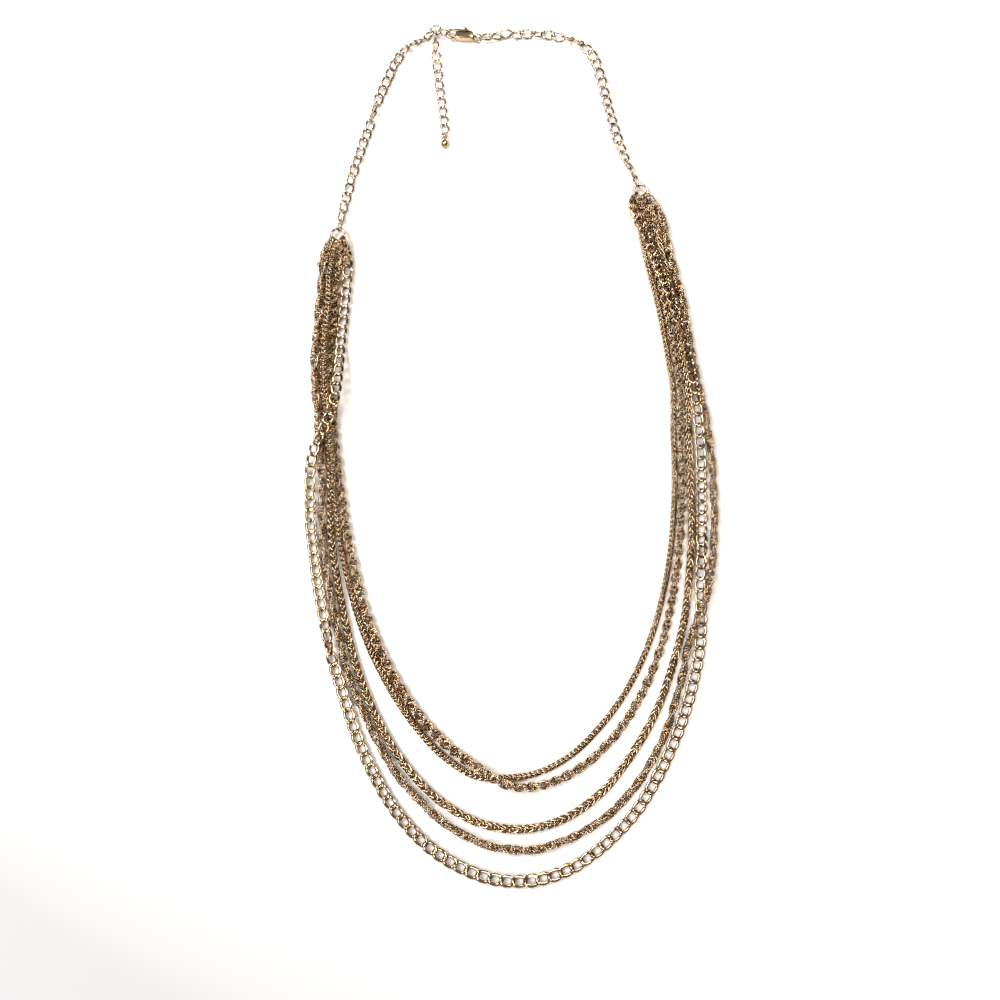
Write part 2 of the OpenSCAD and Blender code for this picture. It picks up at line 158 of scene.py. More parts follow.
# ---------------------------------------------------------------- routes, mm: x, y, lift
INNER_WHEAT = [
    [-71.55, 72.1, 1.05], [-71.8, 69.5, 1.9], [-72.1, 66, 2.8], [-73.2, 60, 3], [-73.5, 45, 3],
    [-74.4, 28, 3], [-73.9, 12, 3], [-72.1, 0, 3], [-71.2, -10, 3], [-69.8, -20, 3],
    [-68.9, -30, 2.8], [-68, -37, 2.2], [-67.1, -43, 1.2], [-66.4, -49, 0], [-64, -60, 0], [-60, -75, 0],
    [-54.5, -90, 0], [-47, -104.5, 0], [-36.5, -120, 0], [-25, -132, 0], [-12, -139.2, 0], [-2, -139.5, 0],
    [8, -138.2, 0], [20, -132.7, 0], [33, -121, 0], [45, -104.5, 0], [53.5, -86, 0], [59, -67, 0],
    [62, -50, 0], [63.4, -36, 0], [64.1, -22, 0], [64.1, -8, 0], [64.6, 10, 0], [62.7, 28, 0],
    [59.8, 48, 0], [57.4, 60, 0], [55.4, 70, 0], [53.7, 82, 0], [52.9, 89, 0.5], [52.86, 92.2, 1.05]]
INNER_TWIST = [
    [-69.6, 72.3, 0.7], [-69.5, 69, 0.4], [-70, 65, 0], [-70.9, 59, 0], [-71.4, 45, 0], [-72.4, 28, 0],
    [-72, 12, 0], [-70.3, 0, 0], [-69.4, -10, 0], [-68, -20, 0], [-66.6, -30, 0], [-65.1, -38, 0],
    [-63.9, -46, 0], [-61.2, -58, 0], [-57, -74, 0], [-51, -90, 0], [-43, -105, 0], [-32, -120, 0],
    [-22, -129.4, 0], [-16, -133.6, 0.4], [-10.5, -137, 2.2], [-6, -140, 2.9], [-1.5, -142, 2],
    [4, -142.9, 0.2], [12, -141.8, 0], [23, -137.2, 0], [36, -126.7, 0], [48, -110, 0], [56.5, -91, 0],
    [61.5, -72, 0], [64.8, -52, 0], [66.3, -36, 0], [67, -22, 0], [67, -8, 0], [67.5, 10, 0],
    [65.6, 28, 0], [62.8, 48, 0], [60.4, 60, 0], [58.4, 70, 0], [56.6, 82, 0], [55.2, 89, 0.3],
    [54.8, 92, 0.7]]
MIDDLE_WHEAT = [
    [-73.4, 72.7, 0.8], [-73.5, 69.5, 0.4], [-73.4, 65, 0], [-74, 59, 0], [-74.5, 45, 0], [-75.5, 28, 0],
    [-75.1, 12, 0], [-73.5, 0, 0], [-72.5, -10, 0], [-71.2, -20, 0], [-70.5, -30, 0], [-70.1, -40, 0],
    [-69.3, -50, 0], [-67.4, -62, 0], [-64.6, -75, 0], [-61, -90, 0], [-56, -105, 0], [-49, -120, 0],
    [-40, -134, 0], [-27, -147, 0], [-12, -155.2, 0], [2, -157.5, 0], [16, -155, 0], [30, -147, 0],
    [43, -132.7, 0], [54, -115, 0], [61, -97, 0], [65.6, -81, 0], [68, -65, 0], [69.6, -50, 0],
    [70, -36, 0], [70.2, -22, 0], [70.1, -8, 0], [70.6, 10, 0], [68.7, 28, 0], [66, 48, 0], [63.6, 60, 0],
    [61.6, 70, 0], [59.9, 82, 0], [57.9, 89, 0.3], [56.6, 92.7, 0.8]]
OUTER_TWIST = [
    [-74.9, 74.2, 0.7], [-76, 71, 0.4], [-76.6, 66, 0], [-77.1, 59, 0], [-77.6, 45, 0], [-78.6, 28, 0],
    [-78.2, 12, 0], [-76.6, 0, 0], [-75.7, -10, 0], [-74.4, -20, 0], [-73.7, -30, 0], [-73.3, -40, 0],
    [-72.5, -50, 0], [-70.8, -62, 0], [-68.1, -75, 0], [-64.6, -90, 0], [-60, -105, 0], [-53.4, -119, 0],
    [-43, -137, 0], [-31, -150, 0], [-19, -158.7, 0], [-6, -163.6, 0], [7, -164.6, 0], [20, -161, 0],
    [33, -154, 0], [45, -142.5, 0], [54, -129, 0], [61, -112, 0], [65, -98, 0], [66.6, -91, 0.5],
    [68.6, -85, 1.7], [71, -79.5, 2.1], [73.3, -74.5, 2.1], [75.1, -69, 1.6], [76.6, -62, 0.3],
    [77.8, -54, 0], [78.5, -45, 0], [78.8, -34, 0], [78.8, -22, 0], [77.9, -8, 0], [76.3, 3, 0],
    [74.6, 12, 0], [72.2, 28, 0], [69.8, 48, 0], [67, 60, 0], [65, 70, 0], [63.2, 82, 0], [60.7, 89.5, 0.3],
    [58.05, 94.3, 0.7]]
OUTER_CURB = [
    [-69.05, 74.35, 1.4], [-67.6, 72.5, 1.4], [-66.8, 69, 1.4], [-66.5, 65, 1.2], [-66.6, 61, 0.9],
    [-66.9, 56, 0], [-67.3, 48, 0], [-68, 38, 0], [-68.6, 29, 0.2], [-68.6, 21, 1.8], [-68.7, 13, 3.8],
    [-69.3, 5, 5.2], [-70.8, -2, 5.6], [-73.2, -8, 5.5], [-76, -14, 4.3], [-78, -20.5, 2.2],
    [-78.5, -28, 0.3], [-78.1, -35, 0], [-77.4, -46, 0], [-75.3, -60, 0], [-72.5, -75, 0], [-71, -81.5, 0],
    [-69.4, -88.3, 1.2], [-68.5, -92.4, 1.2], [-66.2, -100, 0.1], [-63.4, -108, 0], [-58.2, -122.5, 0],
    [-51, -137.5, 0], [-42, -151.5, 0], [-31, -162.8, 0], [-18, -170.8, 0], [-5, -174.9, 0], [9, -174.8, 0],
    [22, -170.5, 0], [34, -162.3, 0], [45, -151.5, 0], [54, -138, 0], [61.5, -123, 0], [67, -108, 0],
    [70.7, -93, 0], [72, -82, 0], [72.1, -74, 0], [72.2, -66.5, 0], [72.7, -59.6, 1.2], [73, -55.4, 1.2],
    [73.5, -48, 0.1], [74.2, -32, 0], [74.5, -20, 0.2], [74.3, -13, 1], [73.9, -6, 2.2], [73.4, 1, 3],
    [72.8, 8, 3.4], [71.7, 16, 3.4], [70, 26, 3.4], [67.4, 38, 3.4], [64.8, 48, 3.4], [60.6, 60, 3.4],
    [57.2, 70, 3.4], [54.4, 78, 3.4], [52, 84.5, 3.3], [50.7, 89, 2.2], [50.85, 92.6, 1.5], [52.15, 94.25, 1.4]]
LEFT_NECK = [
    [-70.7, 79.3, 1.4], [-70, 84.5, 1.4], [-69.1, 89.5, 1.15], [-68.1, 95, 0.4], [-66.8, 101, 0],
    [-65, 109, 0], [-62.4, 118.5, 0], [-59.3, 128.5, 0], [-56.2, 140, 0], [-52, 150.5, 0], [-49, 158, 0],
    [-46.4, 163.2, 0.5], [-42.5, 166.2, 1.15], [-38, 168.2, 1.4], [-33.7, 171.4, 1.4]]
RIGHT_NECK = [
    [-12.35, 169.6, 1.1], [-8.5, 170.4, 0.6], [-4, 171, 0], [1, 171.5, 0], [8, 171.8, 0], [16, 171.5, 0],
    [23, 169.8, 0], [29, 167.8, 0], [33.1, 164.8, 0], [36.1, 159.9, 0], [38.4, 152.4, 0], [40.2, 144.4, 0],
    [41.8, 136.4, 0], [43.7, 128.4, 0], [45.8, 120.4, 0], [48, 112.9, 0.6], [50, 107.3, 1.3],
    [51.8, 102.8, 1.4], [53.26, 99.04, 1.4]]
EXTENDER = [
    [-32.1, 170.75, 1.35], [-32.2, 166, 1.35], [-31.9, 161, 1.15], [-31.2, 155, 0.4], [-30.2, 145, 0],
    [-28.9, 135, 0], [-28.1, 129, 0.3], [-27.7, 123.8, 0.7]]
LEFT_RING = np.array([-71.1, 76.4, 2.2])
RIGHT_RING = np.array([54.2, 96.3, 2.2])
EXT_RING = np.array([-32.1, 173, 2.15])
PIVOT = np.array([-17.1, 170.8, 1.9])
CLASP_TURN = -5.0


def unit(v):
    return v / np.linalg.norm(v, axis=-1, keepdims=True)


class Track:
    """A smooth curve through the rows of a route, read by length."""

    def __init__(self, rows, z0):
        P = np.array(rows, float)
        seg = np.linalg.norm(np.diff(P, axis=0), axis=1)
        m = np.zeros_like(P)
        m[0] = (P[1] - P[0]) / seg[0]
        m[-1] = (P[-1] - P[-2]) / seg[-1]
        for i in range(1, len(P) - 1):
            m[i] = ((P[i] - P[i - 1]) / seg[i - 1] * seg[i] + (P[i + 1] - P[i]) / seg[i] * seg[i - 1]) / (seg[i] + seg[i - 1])
        pts = []
        for i in range(len(P) - 1):
            for j in range(8):
                u = j / 8
                pts.append((2 * u**3 - 3 * u**2 + 1) * P[i] + (u**3 - 2 * u**2 + u) * m[i] * seg[i]
                           + (3 * u**2 - 2 * u**3) * P[i + 1] + (u**3 - u**2) * m[i + 1] * seg[i])
        pts.append(P[-1])
        Q = np.array(pts)
        Q[:, 2] = np.maximum(Q[:, 2], 0) + z0
        self.Q = Q
        self.S = np.concatenate([[0], np.cumsum(np.linalg.norm(np.diff(Q, axis=0), axis=1))])
        self.L = self.S[-1]

    def at(self, s):
        return np.stack([np.interp(s, self.S, self.Q[:, k]) for k in range(3)], axis=-1)

    def axes(self, s, d=1.0):
        t = unit(self.at(np.minimum(s + d, self.L)) - self.at(np.maximum(s - d, 0)))
        side = unit(np.cross(UP, t))
        return t, side, np.cross(t, side)

    def s_at_y(self, y, from_start=True):
        """Length at which the route passes y, on its way down or on its way up."""
        low = int(np.argmin(self.Q[:, 1]))
        if from_start:
            return float(np.interp(-y, -self.Q[: low + 1, 1], self.S[: low + 1]))
        return float(np.interp(y, self.Q[low:, 1], self.S[low:]))


# ---------------------------------------------------------------- mesh building
def closed_faces(n, k):
    i = np.arange(n)[:, None]
    j = np.arange(k)[None, :]
    a = i * k + j
    b = i * k + (j + 1) % k
    c = ((i + 1) % n) * k + (j + 1) % k
    d = ((i + 1) % n) * k + j
    return np.stack([a, d, c, b], axis=-1).reshape(-1, 4)


def open_faces(n, k):
    i = np.arange(n - 1)[:, None]
    j = np.arange(k)[None, :]
    a = i * k + j
    b = i * k + (j + 1) % k
    c = (i + 1) * k + (j + 1) % k
    d = (i + 1) * k + j
    return np.stack([a, d, c, b], axis=-1).reshape(-1, 4)


def wire_loop(path, normal, w, h, k):
    """A closed wire along path: w across in the loop's plane, h along its normal."""
    n = len(path)
    t = unit(np.roll(path, -1, axis=0) - np.roll(path, 1, axis=0))
    out = unit(np.cross(t, normal))
    nn = np.cross(out, t)
    f = (np.arange(k) + 0.5) * 2 * math.pi / k
    V = path[:, None, :] + out[:, None, :] * (w / 2 * np.cos(f))[None, :, None] + nn[:, None, :] * (h / 2 * np.sin(f))[None, :, None]
    return V.reshape(-1, 3), closed_faces(n, k)


def loop_path(a, b, p, h, n):
    f = (np.arange(n) + 0.5) * 2 * math.pi / n
    c, s = np.cos(f), np.sin(f)
    return np.stack([a * np.sign(c) * np.abs(c) ** p, b * np.sign(s) * np.abs(s) ** p, h * np.sin(2 * f)], axis=-1)


def loop(a, b, p, h, w, wh, n, k):
    return wire_loop(loop_path(a, b, p, h, n), np.array([[0.0, 0.0, 1.0]]), w, wh, k)


def tube(path, radius, k, caps=True, flat=1.0, ref=None):
    """An open wire along path with its own radius at each point, its ends closed by flat caps when caps is set."""
    path = np.array(path, float)
    n = len(path)
    radius = np.broadcast_to(np.array(radius, float), (n,))
    t = unit(np.gradient(path, axis=0))
    u = np.zeros_like(path)
    r0 = ref if ref is not None else (np.array([0, 0, 1.0]) if abs(t[0][2]) < 0.9 else np.array([1.0, 0, 0]))
    u[0] = unit(r0 - t[0] * np.dot(r0, t[0]))
    for i in range(1, n):
        v = u[i - 1] - t[i] * np.dot(u[i - 1], t[i])
        u[i] = v / np.linalg.norm(v)
    v = np.cross(t, u)
    f = (np.arange(k) + 0.5) * 2 * math.pi / k
    V = path[:, None, :] + radius[:, None, None] * (v[:, None, :] * np.cos(f)[None, :, None] + flat * u[:, None, :] * np.sin(f)[None, :, None])
    V = V.reshape(-1, 3)
    F = open_faces(n, k).tolist()
    if caps:
        F.append(list(range(k)))
        F.append(list(range((n - 1) * k, n * k))[::-1])
    return V, F


def copies(T, F, X, Y, Z, C):
    """The template T, F set at each centre C with axes X, Y, Z."""
    m, n = len(C), len(T)
    V = C[:, None, :] + T[None, :, 0:1] * X[:, None, :] + T[None, :, 1:2] * Y[:, None, :] + T[None, :, 2:3] * Z[:, None, :]
    G = F[None, :, :] + (np.arange(m) * n)[:, None, None]
    return V.reshape(-1, 3), G.reshape(-1, F.shape[1])


class Build:
    """Gathers closed shells into one mesh. Every shell is in mm before the shift."""

    def __init__(self):
        self.V, self.F, self.M, self.n = [], [], [], 0

    def add(self, V, F, mat=0, place=None):
        V = np.asarray(V, float)
        if place is not None:
            V = place(V)
        self.V.append(V)
        F = F.tolist() if isinstance(F, np.ndarray) else F
        off = self.n
        self.F.extend([[i + off for i in f] for f in F])
        self.M.extend([mat] * len(F) if isinstance(mat, int) else mat)
        self.n += len(V)
        return self

    def make(self, name, body, slot, mats, *nodes):
        V = (np.concatenate(self.V) + SHIFT) * MM
        mesh = bpy.data.meshes.new(name)
        mesh.from_pydata(V.tolist(), [], self.F)
        for m in mats:
            mesh.materials.append(m)
        mesh.polygons.foreach_set("material_index", np.array(self.M, dtype=np.int32))
        mesh.polygons.foreach_set("use_smooth", np.ones(len(self.F), dtype=bool))
        mesh.update()
        o = bpy.data.objects.new(name, mesh)
        scene.collection.objects.link(o)
        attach(o, body)
        if nodes:
            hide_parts(*nodes)
        return o


def turn_z(V, deg):
    a = math.radians(deg)
    R = np.array([[math.cos(a), -math.sin(a), 0], [math.sin(a), math.cos(a), 0], [0, 0, 1]])
    return V @ R.T


def turn_x(V, deg):
    a = math.radians(deg)
    R = np.array([[1, 0, 0], [0, math.cos(a), -math.sin(a)], [0, math.sin(a), math.cos(a)]])
    return V @ R.T


def split_ring(R, w, gap_at, n=64, k=12, gap=0.05):
    """A round wire ring whose two ends meet at gap_at degrees, flat in XY."""
    g = gap / R / 2
    a = np.linspace(math.radians(gap_at) + g, math.radians(gap_at) + 2 * math.pi - g, n)
    path = np.stack([R * np.cos(a), R * np.sin(a), 0 * a], axis=-1)
    edge = np.minimum(np.arange(n), np.arange(n)[::-1])
    rad = np.where(edge == 0, 0.46 * w, 0.5 * w)
    return tube(path, rad, k, ref=UP)


def ring_wire(R, w, n=28, k=10):
    return loop(R, R, 1.0, 0.0, w, w, n, k)


def end_loops(b, spots, mat=0):
    """The upright loop that holds a strand on a gathering ring, at an angle of that ring."""
    for ring, a in spots:
        V, F = ring_wire(1.1, 0.6, 24, 8)
        V = turn_x(V, 90) + np.array([3.1, 0, 0])
        b.add(turn_z(V, a) + ring, F, mat)


def knot(b, ring, a, count, w0, w1, length, seed, mat=0):
    """Small loops that fill the fan of strand ends below a ring, in the direction a."""
    rng = np.random.default_rng(seed)
    tv, tf = loop(1.15, 0.75, 1.0, 0.12, 0.42, 0.42, 12, 5)
    u = (np.arange(count) + 0.5) / count
    x = 3.6 + length * u
    y = (w0 + (w1 - w0) * u) * rng.uniform(-0.46, 0.46, count)
    z = rng.uniform(1.1, 3.0, count)
    yaw, tip, roll = np.radians(rng.normal(0, 38, count)), np.radians(rng.normal(0, 14, count)), np.radians(rng.uniform(-80, 80, count))
    X = np.stack([np.cos(yaw) * np.cos(tip), np.sin(yaw) * np.cos(tip), np.sin(tip)], axis=-1)
    S = unit(np.cross(np.array([0.0, 0.0, 1.0]), X))
    U = np.cross(X, S)
    Y = S * np.cos(roll)[:, None] + U * np.sin(roll)[:, None]
    Z = np.cross(X, Y)
    V, F = copies(tv, tf, X, Y, Z, np.stack([x, y, z], axis=-1))
    b.add(turn_z(V, a) + np.array([ring[0], ring[1], 0.0]), F, mat)


def taper(T, s, wide=0.0, spread=0.0):
    """The width of a strand along its length: narrower where it starts on its ring, looser
    by wide in the bundle below the ring and by spread where it lies slack low on the left."""
    e = np.minimum(s, T.L - s)
    slack = spread * np.exp(-((s - 185) / 52) ** 2)
    return np.minimum(1, 0.65 + e / 23) * (1 + wide * np.exp(-((e - 32) / 28) ** 2) + slack)


# ---------------------------------------------------------------- wheat strands
def plait(b, rows, d, pitch, a, h, wire, lean, forward, seed, n=10, k=4, wander=9.0, wide=0.0, loose=3.0, spread=0.0):
    """Four rows of closed loops that stand on edge and lean against their neighbours' rows."""
    rng = np.random.default_rng(seed)
    T = Track(rows, d / 2 * math.cos(math.radians(22.5)))
    tv, tf = loop(a, h, 1.0, 0.0, wire, wire, n, k)
    count = int((T.L - 1.6) / pitch)
    base = 0.8 + (T.L - 1.6 - count * pitch) / 2 + np.arange(count) * pitch
    for phi, sign, half in ((45, 1, 0.0), (135, -1, 0.5), (225, 1, 0.0), (315, -1, 0.5)):
        s = np.clip(base + half * pitch + rng.normal(0, 0.04 * pitch, count), 0.3, T.L - 0.3)
        t, side, up = T.axes(s)
        f = np.radians(phi + wander * np.sin(s / 15.0 + seed) + rng.normal(0, loose, count))[:, None]
        er = side * np.cos(f) + up * np.sin(f)
        et = -side * np.sin(f) + up * np.cos(f)
        al = np.radians(lean + rng.normal(0, 1.5 * loose, count))[:, None]
        X = t * np.cos(al) + sign * et * np.sin(al)
        # the outer side of each loop leans forward over the next one
        fw = np.radians(forward + rng.normal(0, loose, count))[:, None]
        N = np.cross(X, er)
        Y = er * np.cos(fw) + N * np.sin(fw) * np.sign((N * t).sum(1))[:, None]
        N = np.cross(X, Y)
        g = taper(T, s, wide, spread)[:, None]
        C = T.at(s) + er * (d / 2 - h - wire / 2) * g
        V, F = copies(tv, tf, X * g, Y * g, N * g, C)
        V[:, 2] = np.maximum(V[:, 2], 0.02)
        b.add(V, F, 0)
    s = np.linspace(0.4, T.L - 0.4, int(T.L / 2.5))
    # a core tube fills the strand's inside where other links would be; its near-black material is painted shade
    b.add(*tube(T.at(s), 0.24 * d * taper(T, s), 6), 1)
    return T


# ---------------------------------------------------------------- twisted strands
def ribbon(b, rows, pitch, a, w, wire, half_turn, lean, seed, saddle, apart, n=18, k=6, jitter=5.0, wide=0.0, spread=0.0):
    """Pairs of oval links side by side, each pair turned on from the last, so that the strand
    shows its flat side and its edge in turn every half turn."""
    rng = np.random.default_rng(seed)
    T = Track(rows, 1.8)
    tv, tf = loop(a, w, 1.0, saddle, wire, wire, n, k)
    count = int((T.L - 2.0) / pitch) + 1
    s = 1.0 + (T.L - 2.0 - (count - 1) * pitch) / 2 + np.arange(count) * pitch
    ang = np.cumsum(np.array([math.pi * pitch / half_turn(x) for x in s])) + np.radians(rng.normal(0, jitter, count))
    for q in (-1, 1):
        t, side, up = T.axes(s)
        c, sn = np.cos(ang)[:, None], np.sin(ang)[:, None]
        Y = side * c + up * sn
        Z = -side * sn + up * c
        tip = np.radians(lean + rng.normal(0, jitter, count))[:, None]
        X = t * np.cos(tip) + Z * np.sin(tip)
        Z = np.cross(X, Y)
        g = taper(T, s, wide, spread)[:, None] * (1 + rng.normal(0, 0.02, (count, 1)))
        C = T.at(s) + Z * q * apart + rng.normal(0, 0.05, (count, 3)) * np.array([1, 1, 0.5])
        V, F = copies(tv, tf, X * g, Y * g, Z * g, C)
        V[:, 2] = np.maximum(V[:, 2], 0.02)
        b.add(V, F, 0)
    return T


# ---------------------------------------------------------------- open links
def link_run(b, rows, count, g0, g1, up0, up1, sg, l, wd, wire, flat, extra, seed, apart=0.0, lift=0.0, n=28, k=10, saddle=0.42, p=0.94, noise=5.0, sides=(4, 5, 9, 0), fall=23):
    """Interlocked oval links along a route, upright where they hang on a ring. With apart
    each link is two loops, one on the other. The facets named in sides take the second
    material, painted shade on the inner and outer sides of the wire."""
    rng = np.random.default_rng(seed)
    T = Track(rows, 0.8 + lift)
    tv, tf = loop((l - wire) / 2, (wd - wire) / 2, p, saddle, wire, flat, n, k)
    i = np.arange(count)
    s = g0 + i * (T.L - g0 - g1) / (count - 1)
    t, side, up = T.axes(s, 1.5)
    roll = rng.normal(0, noise, count)
    roll = roll + np.array([extra(x) for x in s])
    for j in range(count):
        e0 = max(90 - fall * j, 0)
        e1 = max(90 - fall * (count - 1 - j), 0)
        if up0 and j < 4:
            roll[j] = sg * e0
        elif up1 and count - 1 - j < 4:
            roll[j] = sg * (1 if count % 2 == 1 else -1) * e1
    a = np.radians(roll)[:, None]
    Y = side * np.cos(a) + up * np.sin(a)
    Z = -side * np.sin(a) + up * np.cos(a)
    for q in ((-1, 1) if apart else (0,)):
        C = T.at(s) + Z * q * apart + Y * q * 0.1 + t * q * 0.08
        # a rolled link stands higher, so that it stays on the table
        sn, cs = np.abs(np.sin(a[:, 0])), np.abs(np.cos(a[:, 0]))
        low = 0.02 + np.maximum(wd * sn / 2 + (apart + flat / 2) * cs, 0.4 * wd * sn + (apart + flat / 2 + saddle) * cs)
        C = np.stack([C[:, 0], C[:, 1], np.maximum(C[:, 2], low)], axis=-1)
        V, F = copies(tv, tf, t, Y, Z, C)
        # the facets in sides take the second material, painted shade on the wire's sides
        b.add(V, F, np.isin(np.arange(len(F)) % k, sides).astype(int).tolist())
    return T


def bump_at(*spots):
    """Extra roll in degrees near given lengths: (length, half width, degrees)."""
    return lambda s: sum(d * math.exp(-((s - c) / w) ** 2) for c, w, d in spots)


# ---------------------------------------------------------------- the five strands
b = Build()
plait(b, INNER_WHEAT, 2.45, 1.9, 1.3, 0.50, 0.48, 32, 22, 3, n=13, k=5, wander=34, wide=0.2, spread=0.14)
end_loops(b, [(LEFT_RING, -96), (RIGHT_RING, -108)])
b.make("inner_wheat_links", "necklace", "champagne_gold", [GOLD, SHADED_CORE], "inner_wheat_strand")

b = Build()
ribbon(b, INNER_TWIST, 1.36, 1.5, 1.42, 0.49, lambda s: 5.2 + 0.8 * math.sin(s / 7), 9, 5, 0.38, 0.36, wide=0.12, spread=0.22)
end_loops(b, [(LEFT_RING, -70), (RIGHT_RING, -82)])
knot(b, LEFT_RING, -101, 56, 5.6, 11.5, 11.0, 41)
knot(b, RIGHT_RING, -80, 60, 6.0, 11.0, 12.0, 43)
b.make("inner_twist_links", "necklace", "champagne_gold", [TWIST], "inner_twist_strand")

b = Build()
plait(b, MIDDLE_WHEAT, 3.1, 2.75, 1.8, 0.62, 0.62, 26, 20, 9, n=16, k=6, wide=0.08, loose=3.5)
end_loops(b, [(LEFT_RING, -122), (RIGHT_RING, -56)])
b.make("middle_wheat_links", "necklace", "champagne_gold", [GOLD, SHADED_CORE], "middle_wheat_strand")

b = Build()
ribbon(b, OUTER_TWIST, 1.4, 1.42, 1.3, 0.48, lambda s: 9.0 + 2.0 * math.sin(s / 17), 30, 7, 0.40, 0.38, n=16, wide=0.14)
end_loops(b, [(LEFT_RING, -150), (RIGHT_RING, -28)])
b.make("outer_twist_links", "necklace", "champagne_gold", [TWIST], "outer_twist_strand")

T = Track(OUTER_CURB, 0)
b = Build()
link_run(b, OUTER_CURB, 137, 1.55, 1.45, True, True, -1, 6.0, 4.4, 1.0, 0.75,
         bump_at((T.s_at_y(-92), 5.0, 50), (T.s_at_y(-56.6, False), 5.0, -45), (T.s_at_y(30, False), 7.0, 50)), 13,
         apart=0.34, lift=0.42, n=26, saddle=0.34)
b.make("outer_curb_links", "necklace", "champagne_gold", [CURB, GOLD_SIDE_SHADE], "outer_curb_left", "outer_curb_bottom", "outer_curb_right")

# ---------------------------------------------------------------- rings
for name, ring, at in (("left_gathering_ring", LEFT_RING, 118), ("right_gathering_ring", RIGHT_RING, 62)):
    b = Build()
    V, F = split_ring(2.9, 1.0, at, 72, 14)
    b.add(V + ring, F)
    b.make(name + "_wire", "necklace", "pale_gold", [PALE], name)

# ---------------------------------------------------------------- neck chains and extender
b = Build()
link_run(b, LEFT_NECK, 24, 1.55, 1.65, True, True, 1, 6.0, 4.3, 0.85, 0.78,
         bump_at((24.5, 3.0, 75), (57.0, 3.0, -75), (79.0, 3.0, 70), (87.0, 2.5, -70)), 21, noise=12.0)
b.make("left_neck_links", "necklace", "pale_gold", [PALE, PALE_SIDE_SHADE], "left_neck_chain")
b = Build()
link_run(b, RIGHT_NECK, 26, 1.7, 1.55, False, True, 1, 6.0, 4.3, 0.85, 0.78,
         bump_at((11.0, 2.5, 75), (40.0, 2.5, -75)), 22, noise=12.0)
b.make("right_neck_links", "necklace", "pale_gold", [PALE, PALE_SIDE_SHADE], "right_neck_chain")
b = Build()
link_run(b, EXTENDER, 11, 1.6, 1.75, True, False, 1, 5.6, 4.1, 0.68, 0.65, bump_at(), 23, noise=9.0, fall=52)
b.make("extender_links", "necklace", "pale_gold", [PALE, PALE_SIDE_SHADE], "extender_chain")

b = Build()
V, F = split_ring(2.25, 0.7, 100, 64, 12)
b.add(V + EXT_RING, F)
b.make("extender_ring_wire", "necklace", "pale_gold", [PALE], "extender_ring")

b = Build()
V, F = split_ring(1.65, 0.6, 200, 48, 10)
b.add(turn_x(V, 60) + np.array([-14, 169.35, 1.9]), F)
b.make("clasp_ring_wire", "necklace", "pale_gold", [PALE], "clasp_ring")

b = Build()
V, F = loop(2.5, 1.8, 0.92, 0.0, 0.7, 0.7, 40, 10)
b.add(turn_z(turn_x(V, 90), -15.5) + np.array([-28.4, 171.95, 2.2]), F)
b.make("caught_link_wire", "necklace", "pale_gold", [PALE], "caught_link")

b = Build()
V, F = split_ring(1.3, 0.55, 70, 40, 10)
V = np.stack([V[:, 2], V[:, 0], V[:, 1]], axis=-1)
b.add(V + np.array([-27.7, 122.55, 1.6]), F)
b.make("drop_ring_wire", "necklace", "pale_gold", [PALE], "drop_ring")


# ---------------------------------------------------------------- end drop
def lathe_y(profile, k=40):
    """Turns (y, r) rows about the Y axis. The first and last rows are on the axis."""
    V = []
    f = np.arange(k) * 2 * math.pi / k
    inner = profile[1:-1]
    for y, r in inner:
        V.append(np.stack([r * np.cos(f), np.full(k, y), r * np.sin(f)], axis=-1))
    V = np.concatenate(V)
    F = open_faces(len(inner), k)[:, ::-1].tolist()
    a, c = len(V), len(V) + 1
    V = np.concatenate([V, [[0, profile[0][0], 0], [0, profile[-1][0], 0]]])
    for j in range(k):
        F.append([a, (j + 1) % k, j][::-1])
        o = (len(inner) - 1) * k
        F.append([c, o + j, o + (j + 1) % k][::-1])
    return V, F


b = Build()
drop = np.array([-27.7, 121.2, 1.6])
V, F = ring_wire(0.8, 0.5, 28, 10)
b.add(V + drop, F)
rows = [(-0.55, 0.0), (-0.55, 0.28), (-0.75, 0.36), (-0.95, 0.40), (-1.02, 0.62), (-1.12, 0.70)]
for a in np.linspace(28, 176, 26):
    rows.append((-2.55 + 1.6 * math.cos(math.radians(a)), 1.6 * math.sin(math.radians(a))))
rows.append((-4.15, 0.0))
V, F = lathe_y(rows)
b.add(V + drop, F)
b.make("extender_drop_ball", "necklace", "champagne_gold", [GOLD], "extender_drop")


# ---------------------------------------------------------------- clasp
def clasp_place(V):
    return turn_z(V, CLASP_TURN) + PIVOT


def rounded(outline, times=2):
    """Cuts the corners of a closed outline."""
    P = np.array(outline, float)
    for _ in range(times):
        Q = np.roll(P, -1, axis=0)
        P = np.stack([0.8 * P + 0.2 * Q, 0.2 * P + 0.8 * Q], axis=1).reshape(-1, 2)
    return P


